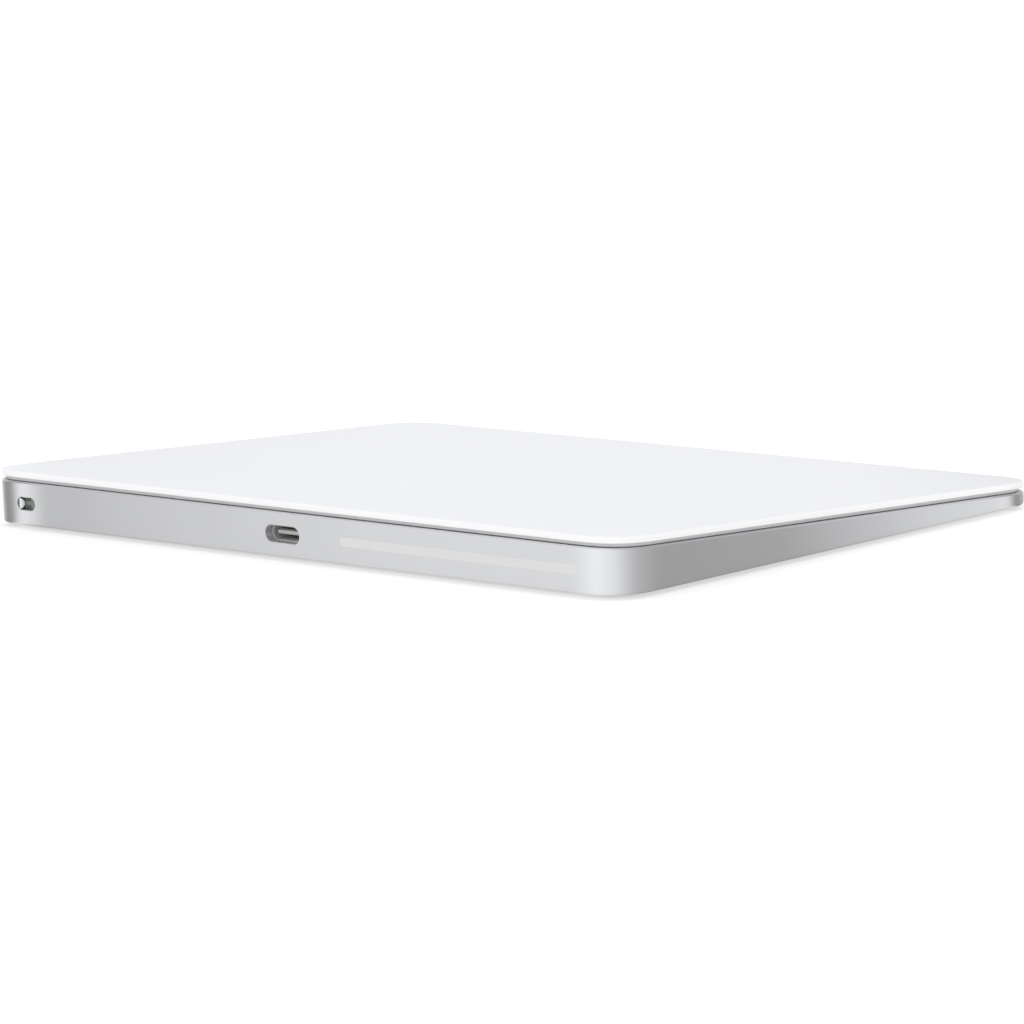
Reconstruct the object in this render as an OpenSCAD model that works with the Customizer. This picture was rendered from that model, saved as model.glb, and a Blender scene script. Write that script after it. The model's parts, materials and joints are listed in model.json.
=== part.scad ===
// Desk trackpad: a tilted glass touch plate, carried on four leaf springs in a
// machined wedge-shaped tray, with a haptic drive under its middle.
// Millimetres. The origin is under the middle of the case, on the desk.
// +X is the user's right, +Y the thick rear edge with the port, +Z is up.

/* [Case] */
// Width of the case, left to right
body_w = 160; // [150:1:180]
// Depth of the case, front to rear
body_d = 114.9; // [110:0.1:135]
// Height of the glass above the desk at the front edge
front_h = 4.9; // [4.6:0.1:6]
// Height of the glass above the desk at the rear edge
rear_h = 10.9; // [10.4:0.1:13]
// Corner radius of the case in plan
corner_r = 7.8; // [7:0.1:12]
// Thickness of the tray's walls
wall_t = 1.8; // [1.6:0.1:2.2]
// Thickness of the tray's floor
floor_t = 0.8; // [0.6:0.1:1]
// Rounding of the tray's lower outer edge
base_round = 0.4; // [0.2:0.1:0.6]
// Chamfer along the tray's rim
rim_chamfer = 0.25; // [0.1:0.05:0.5]

/* [Bottom] */
// Thickness of the bottom cover
cover_t = 0.6; // [0.5:0.1:0.8]
// Thickness of the tape that holds the bottom cover
tape_t = 0.1; // [0.05:0.05:0.2]
// Width of the tape along the edge of the cover
tape_w = 4; // [3:0.5:8]
// Width of bare metal round the bottom cover
cover_land = 3; // [2:0.1:5]
// Gap round the bottom cover
cover_gap = 0.15; // [0.1:0.05:0.3]
// Diameter of a foot
foot_d = 9; // [7:0.5:12]
// How far the feet hold the case off the desk
foot_h = 0.5; // [0.4:0.05:0.7]
// How deep a foot is let into the cover
foot_set = 0.3; // [0.1:0.05:0.4]
// Rounding of a foot's lower edge
foot_round = 0.2; // [0.1:0.05:0.3]
// Distance of a foot's middle from the edges of the case
foot_inset = 13; // [11:0.5:20]

/* [Touch plate] */
// Thickness of the glass
glass_t = 1.2; // [1:0.1:1.5]
// Height of the open joint between the glass and the tray's rim
glass_gap = 0.75; // [0.6:0.05:1]
// Rounding of the glass's upper edge
glass_round = 0.35; // [0.1:0.05:0.5]
// Rounding of the glass's lower edge
glass_under_round = 0.3; // [0.1:0.05:0.4]
// Thickness of the glue sheet under the glass
glue_t = 0.1; // [0.05:0.05:0.2]
// Thickness of the touch sensor board
sensor_t = 0.6; // [0.5:0.1:0.8]
// Thickness of the steel carrier plate
carrier_t = 0.5; // [0.4:0.1:0.7]
// How far the boards under the glass stay inside its edge
plate_inset = 2.6; // [2.4:0.1:4]
// Distance of the white bead under the glass from the glass's edge
bead_inset = 0.35; // [0.3:0.05:0.6]
// Gap left under the bead when the plate is fully pressed
bead_gap = 0.05; // [0.03:0.01:0.2]
// How far the plate sinks when it is pressed
press_travel = 0.15; // [0.1:0.05:0.3]
// How far the plate shakes to each side
shake_travel = 0.15; // [0.1:0.05:0.2]
// Least gap between the moving plate and fixed pieces
run_gap = 0.2; // [0.15:0.05:0.3]

/* [Leaf springs] */
// Width of a leaf spring
leaf_w = 9; // [8:0.5:11]
// Length of a leaf spring
leaf_l = 22; // [20:0.5:26]
// Thickness of a leaf spring
leaf_t = 0.4; // [0.3:0.05:0.5]
// Width of the leaf's waist, which bends
leaf_neck = 5; // [4:0.5:6]
// Length of the leaf's screwed end
leaf_seat = 7; // [6:0.5:8]
// Gap between a leaf spring and the side wall
leaf_wall_gap = 3.2; // [2.5:0.1:5]
// Distance of the rear leaf springs from the main board
leaf_board_gap = 9.5; // [8:0.5:12]
// Least height of a spring's boss above the floor
boss_min = 0.3; // [0.2:0.05:0.5]
// Margin of a boss round what it carries
boss_margin = 0.6; // [0.4:0.1:0.8]
// Side of a gel pad
pad_w = 7; // [6:0.5:8]
// Thickness of a gel pad
pad_t = 0.3; // [0.3:0.05:0.5]
// Length of a strain gauge
gauge_l = 4; // [3:0.5:5]
// Width of a strain gauge
gauge_w = 3; // [2:0.5:4]
// Thickness of a strain gauge
gauge_t = 0.1; // [0.05:0.05:0.1]

/* [Screws] */
// Diameter of a screw's shank
screw_d = 1.4; // [1.2:0.1:1.6]
// Diameter of a screw's head
head_d = 2.6; // [2.2:0.1:3]
// Height of a screw's head
head_h = 0.35; // [0.25:0.05:0.4]
// Distance across the driver recess
drive_d = 1.1; // [0.9:0.1:1.3]
// Depth of the driver recess
drive_depth = 0.2; // [0.1:0.05:0.2]
// Gap between a screw and its hole, all round
screw_gap = 0.05; // [0.03:0.01:0.1]

/* [Haptic drive] */
// Thickness of the drive's bracket
bracket_t = 0.5; // [0.4:0.1:0.6]
// Width of the armature bar that hangs from the plate
bar_w = 4; // [3:0.5:5]
// Length of a core along the bar
core_l = 24; // [22:0.5:28]
// Length of a core's legs
leg_l = 9; // [8:0.5:11]
// Width of a core's middle leg
leg_w = 6; // [5:0.5:7]
// Width of a core's yoke and outer legs
yoke_w = 3; // [2.5:0.5:4]
// Thickness of a coil's winding above and below its leg
coil_wall = 0.55; // [0.4:0.05:0.6]
// Thickness of a coil's winding beside its leg
coil_side = 2.2; // [1.5:0.1:2.5]
// Gap round the drive's pieces where they are assembled
fit_gap = 0.05; // [0.03:0.01:0.1]

/* [Battery] */
// Depth of a battery cell, front to rear
cell_d = 42; // [38:1:46]
// Distance of a battery cell from the main board
cell_board_gap = 2.5; // [2:0.5:4]
// Gap round a battery cell
cell_gap = 1; // [0.8:0.1:1.5]
// Thickness of the tape under a cell
cell_tape_t = 0.15; // [0.1:0.05:0.2]
// Rounding of a cell's corners in plan
cell_corner = 2; // [1:0.5:3]
// Rounding of a cell's edges
cell_round = 0.6; // [0.3:0.1:0.8]
// Depth of the ledge at the cell's rear that carries its board
ledge_d = 4; // [3:0.5:5]
// Thickness of the cell at that ledge
ledge_t = 1.2; // [1:0.1:1.4]
// Thickness of the cell's protection board
guard_t = 0.6; // [0.4:0.1:0.8]

/* [Main board] */
// Thickness of the main board
board_t = 0.8; // [0.6:0.1:1]
// Depth of the main board, front to rear
board_d = 10.5; // [10:0.5:12]
// Gap between the main board and the rear wall
board_gap = 1.6; // [1.4:0.1:2]
// Reach of the main board to the left of the port
board_left = 26; // [25:0.5:30]
// Distance of the main board's right end from the slot's middle
board_right = 5.5; // [5:0.5:6]
// Distance of a board screw from the board's rear edge
board_screw_in = 2.5; // [2:0.5:3]
// Diameter of a boss under the board
board_boss_d = 4.2; // [3.6:0.2:5]
// Height of a flex socket
socket_h = 0.9; // [0.8:0.1:1.1]
// Depth of a flex socket
socket_d = 3; // [2.5:0.1:3.2]
// Thickness of a flat flex lead
flex_t = 0.12; // [0.1:0.01:0.15]
// Height of the radio's shield can
can_h = 1.6; // [1.2:0.1:1.8]
// Sheet thickness of the shield can
can_t = 0.2; // [0.15:0.05:0.3]
// Height of a chip
chip_h = 0.9; // [0.7:0.1:1.2]

/* [Port] */
// Width of the port's hole in the rear wall
port_w = 8.6; // [8.4:0.1:8.9]
// Height of the port's hole in the rear wall
port_h = 3; // [2.8:0.1:3.1]
// Outer width of the socket's shell
shell_w = 8.94; // [8.9:0.01:9.2]
// Outer height of the socket's shell
shell_h = 3.16; // [3.1:0.01:3.3]
// Sheet thickness of the socket's shell
shell_t = 0.3; // [0.2:0.05:0.3]
// Length of the socket's shell
shell_l = 7.4; // [7:0.1:8]
// Width of the socket's tongue
tongue_w = 6.69; // [6.6:0.01:6.7]
// Thickness of the socket's tongue
tongue_t = 0.7; // [0.6:0.05:0.8]
// How far the tongue stays behind the shell's mouth
tongue_back = 0.4; // [0.3:0.1:0.6]
// Length of the block that closes the shell's rear end
plug_block = 1.5; // [1.2:0.1:2]
// Contacts in a row of the socket
contact_count = 12; // [8:2:12]
// Distance between the socket's contacts
contact_pitch = 0.5; // [0.45:0.01:0.52]
// Width of a contact
contact_w = 0.24; // [0.2:0.01:0.3]
// Thickness of a contact
contact_t = 0.08; // [0.06:0.01:0.1]

/* [Power switch] */
// Width of the switch's slot in the rear wall
slot_w = 5; // [4.5:0.1:5.5]
// Height of the switch's slot
slot_h = 2.35; // [2.2:0.05:2.6]
// Distance of the slot from the start of the corner's curve
slot_corner_gap = 1.1; // [0.2:0.1:2]
// Width of the knob in the slot
knob_w = 1.6; // [1.4:0.1:2]
// Gap between the knob and the slot, all round
knob_gap = 0.1; // [0.08:0.01:0.2]
// How far the knob's crest lies inside the wall's face
knob_in = 0.05; // [0.03:0.01:0.3]
// Height of the crown on the knob's face
knob_crown = 0.6; // [0.3:0.05:0.65]
// Thickness of the sliding plate that carries the knob
slider_t = 0.6; // [0.5:0.05:0.7]
// Reach of the sliding plate past the slot, above and below
slider_lip = 0.5; // [0.4:0.05:0.6]
// Reach of the sliding plate beyond the knob, on its outer side
slider_out = 3.3; // [3.2:0.1:3.6]
// Running gap round the sliding plate
slider_gap = 0.12; // [0.1:0.01:0.15]
// Thickness of the wall's lip in front of the sliding plate
slot_lip = 0.9; // [0.8:0.05:1]
// Side of the switch's lever
lever_w = 0.8; // [0.6:0.1:1]
// Height of the switch's body
switch_h = 2.2; // [2:0.1:2.6]
// Depth of the switch's body
switch_d = 3.6; // [3:0.1:4]
// Wall of the switch's body round the lever's slot
switch_wall = 0.4; // [0.3:0.05:0.5]
// Thickness of the coloured film beside the knob
marker_t = 0.05; // [0.03:0.01:0.06]

/* [Antenna] */
// Height of the plastic window in the rear wall
window_h = 1.65; // [1.4:0.05:2]
// Distance of the window from the port's hole
window_port_gap = 10.3; // [8:0.1:14]
// Distance of the window from the start of the corner's curve
window_corner_gap = 1.8; // [0.5:0.1:3]
// Corner radius of the window
window_r = 0.6; // [0.3:0.05:0.7]
// Width of the window's flange, all round
flange_w = 1; // [0.6:0.1:1.2]
// Thickness of the window's flange
flange_t = 0.6; // [0.4:0.1:0.8]
// Thickness of the antenna strip
antenna_t = 0.2; // [0.15:0.05:0.3]

/* [Hidden] */
$fn = 64;

// Reach of a cut past the face it starts from
over = 1;

// The tilted plane of the glass
slope = (rear_h - front_h) / body_d;
tilt = atan(slope);
mid_h = (front_h + rear_h) / 2;
function plane_z(y, drop) = front_h + slope * (y + body_d / 2) - drop / cos(tilt);
function plane_y(z, drop) = (z + drop / cos(tilt) - front_h) / slope - body_d / 2;

// Layers under the glass, as distances below its upper face
rim_drop = glass_t + glass_gap;
sensor_drop = glass_t + glue_t;
carrier_drop = sensor_drop + sensor_t;
pad_drop = carrier_drop + carrier_t;
leaf_drop = pad_drop + pad_t;
boss_drop = leaf_drop + leaf_t;
bead_t = glass_gap - press_travel - bead_gap;
glass_d = (body_d - glass_t * sin(tilt)) / cos(tilt);
glass_y = -glass_t * sin(tilt) / 2;

// Levels from the desk up
cover_top = foot_h + cover_t;
recess_top = cover_top + tape_t;
floor_top = recess_top + floor_t;
rear_rim = plane_z(body_d / 2, rim_drop);
port_z = (foot_h + base_round + rear_rim) / 2;

// Inside of the tray
in_w = body_w - 2 * wall_t;
in_d = body_d - 2 * wall_t;
in_r = corner_r - wall_t;
rear_y = body_d / 2;
in_rear = in_d / 2;
corner_x = body_w / 2 - corner_r;

// Boards under the glass
plate_w = body_w - 2 * plate_inset;
plate_d = body_d - 2 * plate_inset;
plate_r = corner_r - plate_inset;
carrier_rear = plate_d / 2;
carrier_front = max(-plate_d / 2, plane_y(floor_top + press_travel + run_gap, pad_drop));

// Main board and what stands on it
contact_top = tongue_t / 2 + contact_t;
board_top = port_z - contact_top;
board_low = board_top - board_t;
board_rear = in_rear - board_gap;
board_front = board_rear - board_d;
slot_x = corner_x - slot_corner_gap - slot_w / 2;
board_x0 = -board_left;
board_x1 = slot_x + board_right;
board_screw_y = board_rear - board_screw_in;
board_screw_x = [board_x0 + 6, 12, board_x1 - 20];
board_hold = 1.2;
board_corner = 1;
// Flex sockets on the board: middle and width, battery, sensor, haptic, battery
socket_list = [[-23, 4], [-14, 10], [9, 5], [27, 4]];
socket_in = 0.4;
socket_y = board_front + socket_in;
socket_wall = 0.5;
lead_gap = 0.2;
lead_root = 1;
sensor_root = 10;
flex_z = board_top + socket_h / 2;
flex_level = 0.3;
// Chips on the board: distance of the middle from the board's right end, width and depth
chip_list = [[34, 5, 5], [27.5, 4, 4], [14, 3, 4]];
chip_in = 6.5;
chip_y = board_front + chip_in;
can_x = 16;
can_w = 20;
can_d = 6;
can_in = 4;
can_y = board_front + can_in;

// Leaf springs
leaf_x = in_w / 2 - leaf_wall_gap - leaf_w / 2;
leaf_rear = board_front - leaf_board_gap;
leaf_front = max(plane_y(floor_top + boss_min, boss_drop), -plate_d / 2 + leaf_seat / 2);
leaf_screw_x = 2.6;
screw_short = 0.2;
leaf_screw_l = leaf_t + boss_min + floor_t - screw_short;
notch_r = (leaf_w - leaf_neck) / 2;
window_gap = 1;

// Battery bay, from the drive's bracket to the springs
cell_rear = board_front - cell_board_gap;
cell_front = cell_rear - cell_d;
cell_mid_y = (cell_front + cell_rear) / 2;
bracket_wall = 0.8;
ear_w = 4;
core_x = bar_w / 2 + shake_travel + run_gap;
core_out = core_x + leg_l + yoke_w;
bracket_w = 2 * (core_out + fit_gap + bracket_wall + ear_w);
bracket_l = core_l + ear_w;
bracket_corner = 1.5;
bay_x0 = bracket_w / 2 + cell_gap;
bay_x1 = leaf_x - leaf_w / 2 - boss_margin - cell_gap;
cell_w = bay_x1 - bay_x0;
cell_x = (bay_x0 + bay_x1) / 2;
cell_low = floor_top + cell_tape_t;
cell_top = plane_z(cell_front, pad_drop) - press_travel - run_gap - cell_round / 2;
guard_z = cell_low + ledge_t;
guard_gap = 0.3;

// Haptic drive, centred between the cells
drive_front = cell_mid_y - core_l / 2;
drive_top = plane_z(drive_front, pad_drop) - press_travel - run_gap;
bracket_top = floor_top + bracket_t;
core_z0 = bracket_top + coil_wall + fit_gap;
core_z1 = drive_top - coil_wall;
bar_low = bracket_top + press_travel + run_gap;
tenon_l = 4;
tenon_w = 1.6;
tenon_y = core_l / 2 - tenon_l;
ear_screw_l = bracket_t + floor_t - screw_short;
coil_short = 1.5;
coil_corner = 0.5;

// Port
shell_gap = 0.1;
shell_y = in_rear - shell_gap;
shell_back = shell_y - shell_l;
shell_in_w = shell_w - 2 * shell_t;
shell_in_h = shell_h - 2 * shell_t;
tongue_y = shell_y - tongue_back;
notch_gap = 0.2;
tab_w = 1.6;
tab_l = 1.2;
tail_l = 0.9;
contact_back = 1.1;
row_step = 0.4;

// Power switch
knob_h = slot_h - 2 * knob_gap;
switch_travel = slot_w - knob_w - 2 * knob_gap;
knob_x = slot_x + slot_w / 2 - knob_gap - knob_w / 2;
recess_y = rear_y - slot_lip;
slider_y = recess_y - slider_gap;
slider_back = slider_y - slider_t;
slider_h = slot_h + 2 * slider_lip;
slider_x1 = knob_x + knob_w / 2 + slider_out;
slider_corner = 0.5;
slider_x0 = slot_x - slot_w / 2 - slider_lip;
lever_z = board_top + switch_wall + slider_gap + lever_w / 2;
lever_in = 2;
lever_back = slider_back - lever_in;
switch_y = slider_back - slider_gap;
switch_w = lever_w + switch_travel + 2 * slider_gap + 4 * switch_wall;

// Antenna window
window_x1 = -port_w / 2 - window_port_gap;
window_x0 = -corner_x + window_corner_gap;
window_w = window_x1 - window_x0;
window_x = (window_x0 + window_x1) / 2;
antenna_in = 3;
antenna_margin = 0.3;
antenna_h = window_h + 2 * flange_w - 2 * antenna_margin;
antenna_tab = 3;
antenna_edge = 0.5;

// Puts children on the plane that lies drop below the glass's upper face
module on_plane(drop) {
    translate([0, 0, mid_h])
        rotate([tilt, 0, 0])
            translate([0, 0, -drop])
                children();
}

// Everything above the plane that lies drop below the glass's upper face
module above_plane(drop) {
    on_plane(drop)
        translate([-body_w, -body_d, 0])
            cube([2 * body_w, 2 * body_d, 2 * rear_h]);
}

// Rounded rectangle about the origin
module round_rect(w, d, r) {
    square([w - 2 * r, d], center = true);
    square([w, d - 2 * r], center = true);
    for (x = [-1, 1], y = [-1, 1])
        translate([x * (w / 2 - r), y * (d / 2 - r)])
            circle(r);
}

// Carries an edge profile round a rounded rectangle; the profile's x counts from the corner's centre
module edge_sweep(w, d, r) {
    for (i = [0:3]) {
        reach = i % 2 == 0 ? w / 2 - r : d / 2 - r;
        half = i % 2 == 0 ? d / 2 - r : w / 2 - r;
        rotate([0, 0, 90 * i]) {
            translate([reach, 0, 0])
                rotate([90, 0, 0])
                    linear_extrude(2 * half, center = true)
                        children();
            translate([reach, half, 0])
                rotate_extrude(angle = 90)
                    children();
        }
    }
}

// Half section of a slab's edge, rounded below and above
module edge_profile(r, h, low, high) {
    translate([0, low])
        square([r, h - low - high]);
    square([r - max(low, high), h]);
    if (low > 0)
        translate([r - low, low])
            circle(low);
    if (high > 0)
        translate([r - high, h - high])
            circle(high);
    if (low > high)
        translate([0, low])
            square([r - high, h - low]);
    if (high > low)
        square([r - low, h - high]);
}

// Slab with rounded corners and rounded edges, standing on its lower face
module edged_slab(w, d, h, r, low, high) {
    edge_sweep(w, d, r)
        edge_profile(r, h, low, high);
    translate([r - w / 2, r - d / 2, 0])
        cube([w - 2 * r, d - 2 * r, h]);
}

// Extrudes an X-Z outline from y towards the front
module from_rear(x, y, z, depth) {
    translate([x, y, z])
        rotate([90, 0, 0])
            linear_extrude(depth)
                children();
}

// Flat-sided outline with round ends
module stadium(w, h) {
    square([w - h, h], center = true);
    for (x = [-1, 1])
        translate([x * (w - h) / 2, 0])
            circle(h / 2);
}

// Outline of two arcs of diameter h that leave the width w between them
module lens(w, h) {
    intersection() {
        translate([(h - w) / 2, 0])
            circle(d = h);
        translate([(w - h) / 2, 0])
            circle(d = h);
    }
}

// Flat lead of width w about x, along an S curve from a, which it leaves at angle turn, into a socket
module flex_lead(x, w, a, turn) {
    steps = 16;
    b = [socket_y - flex_level, flex_z];
    run = b[0] - a[0];
    function along(t) = a[0] + run * t;
    function rise(t) = a[1] * (2 * t ^ 3 - 3 * t ^ 2 + 1) + b[1] * (3 * t ^ 2 - 2 * t ^ 3)
        + run * tan(turn) * (t ^ 3 - 2 * t ^ 2 + t);
    function grade(t) = (6 * (b[1] - a[1]) * (t - t ^ 2)) / run + tan(turn) * (3 * t ^ 2 - 4 * t + 1);
    function side(t, s) = [
        along(t) - s * sin(atan(grade(t))) * flex_t / 2,
        rise(t) + s * cos(atan(grade(t))) * flex_t / 2];
    translate([x - w / 2, 0, 0])
        rotate([90, 0, 90])
            linear_extrude(w)
                polygon(concat(
                    [for (i = [0:steps]) side(i / steps, 1)],
                    [for (s = [1, -1]) [socket_y + socket_d / 3, flex_z + s * flex_t / 2]],
                    [for (i = [steps:-1:0]) side(i / steps, -1)]));
}

// Screw with its head's seat at the origin and its shank pointing down
module screw(shank_l) {
    difference() {
        union() {
            cylinder(d = head_d, h = head_h);
            translate([0, 0, -shank_l])
                cylinder(d = screw_d, h = shank_l + head_h / 2);
        }
        translate([0, 0, head_h - drive_depth])
            cylinder(d = drive_d, h = drive_depth + over, $fn = 6);
    }
}

// Hole for a screw's shank below the origin
module screw_hole(depth) {
    translate([0, 0, -depth])
        cylinder(d = screw_d + 2 * screw_gap, h = depth + over);
}

// Puts children at each leaf spring's screwed end, with +Y along the spring
module at_springs() {
    for (x = [-leaf_x, leaf_x]) {
        translate([x, leaf_front, 0])
            children();
        translate([x, leaf_rear, 0])
            mirror([0, 1, 0])
                children();
    }
}

// Puts children at the two screws of a leaf spring
module at_leaf_screws() {
    for (x = [-leaf_screw_x, leaf_screw_x])
        translate([x, leaf_seat / 2, 0])
            children();
}

// Puts children at the drive's four screws
module at_ears() {
    for (x = [-1, 1], y = [-1, 1])
        translate([x * (bracket_w / 2 - ear_w / 2), cell_mid_y + y * (bracket_l / 2 - ear_w / 2), 0])
            children();
}

// Puts children at the main board's screws
module at_board_screws() {
    for (x = board_screw_x)
        translate([x, board_screw_y, 0])
            children();
}

// Puts children at the feet
module at_feet() {
    for (x = [-1, 1], y = [-1, 1])
        translate([x * (body_w / 2 - foot_inset), y * (body_d / 2 - foot_inset), 0])
            children();
}

// Outline of the boards under the glass, from y0 to y1
module plate_outline(y0, y1) {
    translate([0, (y0 + y1) / 2])
        round_rect(plate_w, y1 - y0, plate_r);
}

// Milled tray: wedge-shaped walls, floor, spring bosses and the openings of the rear wall
module housing() {
    color("#c6c8cb")
        difference() {
            tray();
            translate([0, 0, foot_h - over])
                linear_extrude(recess_top - foot_h + over)
                    round_rect(body_w - 2 * cover_land, body_d - 2 * cover_land, corner_r - cover_land);
            on_plane(boss_drop)
                at_springs()
                    at_leaf_screws()
                        screw_hole(leaf_screw_l - leaf_t + screw_gap);
            translate([0, 0, board_low])
                at_board_screws()
                    screw_hole(board_hold + screw_gap);
            translate([0, 0, floor_top])
                at_ears()
                    screw_hole(ear_screw_l - bracket_t + screw_gap);
            from_rear(0, rear_y + over, port_z, wall_t + 2 * over)
                stadium(port_w, port_h);
            from_rear(slot_x, rear_y + over, port_z, wall_t + 2 * over)
                stadium(slot_w, slot_h);
            from_rear((slider_x0 + slider_x1 - switch_travel) / 2, recess_y, port_z, wall_t)
                square([slider_x1 - slider_x0 + switch_travel + 2 * slider_gap,
                    slider_h + 2 * slider_gap], center = true);
            from_rear(window_x, rear_y + over, port_z, wall_t + 2 * over)
                round_rect(window_w, window_h, window_r);
            from_rear(window_x, in_rear + flange_t, port_z, flange_t + over)
                square([window_w + 2 * flange_w, window_h + 2 * flange_w], center = true);
        }
}

// The tray before its openings are cut
module tray() {
    difference() {
        translate([0, 0, foot_h])
            edged_slab(body_w, body_d, rear_h, corner_r, base_round, 0);
        translate([0, 0, floor_top])
            linear_extrude(2 * rear_h)
                round_rect(in_w, in_d, in_r);
        above_plane(rim_drop);
        on_plane(rim_drop)
            edge_sweep(body_w, body_d / cos(tilt), corner_r)
                polygon([[corner_r - rim_chamfer, 0],
                    [corner_r + over, -rim_chamfer - over],
                    [corner_r + over, over],
                    [corner_r - rim_chamfer, over]]);
    }
    difference() {
        translate([0, 0, floor_top - floor_t / 2])
            linear_extrude(rear_h)
                at_springs()
                    translate([-leaf_w / 2 - boss_margin, -boss_margin])
                        square([leaf_w + 2 * boss_margin, leaf_seat + boss_margin]);
        above_plane(boss_drop);
    }
    translate([0, 0, floor_top - floor_t / 2])
        at_board_screws()
            cylinder(d = board_boss_d, h = board_low - floor_top + floor_t / 2);
}

// Moulded plate that closes the tray from below
module bottom_cover() {
    color("#dcdde0")
        difference() {
            translate([0, 0, foot_h])
                linear_extrude(cover_t)
                    round_rect(body_w - 2 * cover_land - 2 * cover_gap,
                        body_d - 2 * cover_land - 2 * cover_gap, corner_r - cover_land - cover_gap);
            translate([0, 0, foot_h - over])
                at_feet()
                    cylinder(d = foot_d + 2 * fit_gap, h = foot_set + over);
        }
}

// Tape frame between the cover and the tray
module cover_tape() {
    color("#f2efe6")
        translate([0, 0, cover_top])
            linear_extrude(tape_t)
                difference() {
                    round_rect(body_w - 2 * cover_land - 2 * cover_gap,
                        body_d - 2 * cover_land - 2 * cover_gap, corner_r - cover_land - cover_gap);
                    square([body_w - 2 * cover_land - 2 * cover_gap - 2 * tape_w,
                        body_d - 2 * cover_land - 2 * cover_gap - 2 * tape_w], center = true);
                }
}

// Four rubber feet with rounded lower edges
module feet() {
    color("#e4e4e6")
        at_feet()
            rotate_extrude() {
                translate([0, foot_round])
                    square([foot_d / 2, foot_h + foot_set - foot_round]);
                square([foot_d / 2 - foot_round, foot_h]);
                translate([foot_d / 2 - foot_round, foot_round])
                    circle(foot_round);
            }
}

// Plastic strip in the rear wall that lets the radio through, with a flange inside
module antenna_window() {
    color("#dededf") {
        from_rear(window_x, rear_y, port_z, wall_t)
            round_rect(window_w, window_h, window_r);
        from_rear(window_x, in_rear + flange_t, port_z, flange_t)
            square([window_w + 2 * flange_w - 2 * fit_gap, window_h + 2 * flange_w - 2 * fit_gap],
                center = true);
    }
}

// Metal strip behind the window, with a tab on the main board
module antenna() {
    color("#c9a46a") {
        from_rear(window_x, in_rear, port_z, antenna_t)
            square([window_w - 2 * antenna_in, antenna_h], center = true);
        translate([board_x0 + antenna_edge, board_rear - antenna_tab / 2, board_top])
            cube([antenna_tab, in_rear - board_rear + antenna_tab / 2, antenna_t]);
    }
}

// Circuit board along the rear wall, notched for the port
module main_board() {
    color("#1f4d3a")
        difference() {
            translate([(board_x0 + board_x1) / 2, (board_front + board_rear) / 2, board_low])
                linear_extrude(board_t)
                    round_rect(board_x1 - board_x0, board_d, board_corner);
            translate([-shell_w / 2 - notch_gap, shell_back - notch_gap, board_low - over])
                cube([shell_w + 2 * notch_gap, board_d, board_t + 2 * over]);
            translate([0, 0, board_top])
                at_board_screws()
                    screw_hole(board_t + over);
        }
}

// Screws that hold the main board
module board_screws() {
    color("#b9babd")
        translate([0, 0, board_top])
            at_board_screws()
                screw(board_t + board_hold);
}

// Chips on the main board
module board_chips() {
    color("#26272a")
        for (chip = chip_list)
            translate([board_x1 - chip[0] - chip[1] / 2, chip_y - chip[2] / 2, board_top])
                cube([chip[1], chip[2], chip_h]);
}

// Sheet-metal can over the radio
module radio_shield() {
    color("#c4c6c8")
        difference() {
            translate([can_x, can_y, board_top])
                cube([can_w, can_d, can_h]);
            translate([can_x + can_t, can_y + can_t, board_top - over])
                cube([can_w - 2 * can_t, can_d - 2 * can_t, can_h - can_t + over]);
        }
}

// Sockets for the flat leads along the board's front edge
module flex_sockets() {
    color("#ded8c8")
        for (socket = socket_list)
            difference() {
                translate([socket[0] - socket[1] / 2 - socket_wall, socket_y, board_top])
                    cube([socket[1] + 2 * socket_wall, socket_d, socket_h]);
                translate([socket[0] - socket[1] / 2, socket_y - over, flex_z - flex_t])
                    cube([socket[1], over + socket_d / 2, 2 * flex_t]);
            }
}

// Drawn steel shell of the port, with four tabs on the board
module usb_shell() {
    color("#c3c5c8") {
        from_rear(0, shell_y, port_z, shell_l)
            difference() {
                stadium(shell_w, shell_h);
                stadium(shell_in_w, shell_in_h);
            }
        for (x = [-1, 1], y = [board_rear - tab_l, shell_back + tab_l / 2])
            translate([x * (shell_w / 2 - shell_t / 2 + tab_w / 2) - tab_w / 2, y, board_top])
                cube([tab_w, tab_l, shell_t]);
    }
}

// Moulded tongue and the block behind it
module usb_tongue() {
    color("#cfd0d2")
        difference() {
            union() {
                from_rear(0, shell_back + plug_block, port_z, plug_block)
                    stadium(shell_in_w, shell_in_h);
                from_rear(0, tongue_y, port_z, shell_l - tongue_back)
                    square([tongue_w, tongue_t], center = true);
            }
            for (side = [-1, 1], i = [0:contact_count - 1])
                translate([contact_x(i) - contact_w / 2, shell_back - over,
                    port_z + side * (tongue_t / 2 + contact_t / 2) - contact_t / 2])
                    cube([contact_w, plug_block + 2 * over, contact_t]);
        }
}

function contact_x(i) = (i - (contact_count - 1) / 2) * contact_pitch;

// Two rows of contacts on the tongue, with tails on the board
module usb_contacts() {
    contact_y = tongue_y - contact_back;
    lower_end = shell_back - notch_gap - tail_l;
    upper_end = lower_end - row_step;
    color("#d9b45b")
        for (i = [0:contact_count - 1])
            translate([contact_x(i) - contact_w / 2, 0, 0]) {
                translate([0, lower_end, board_top])
                    cube([contact_w, contact_y - lower_end, contact_t]);
                translate([0, upper_end, port_z + tongue_t / 2])
                    cube([contact_w, contact_y - upper_end, contact_t]);
                translate([0, upper_end, board_top])
                    cube([contact_w, contact_t, port_z + tongue_t / 2 + contact_t - board_top]);
                translate([0, upper_end - tail_l, board_top])
                    cube([contact_w, tail_l + contact_t, contact_t]);
            }
}

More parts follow.
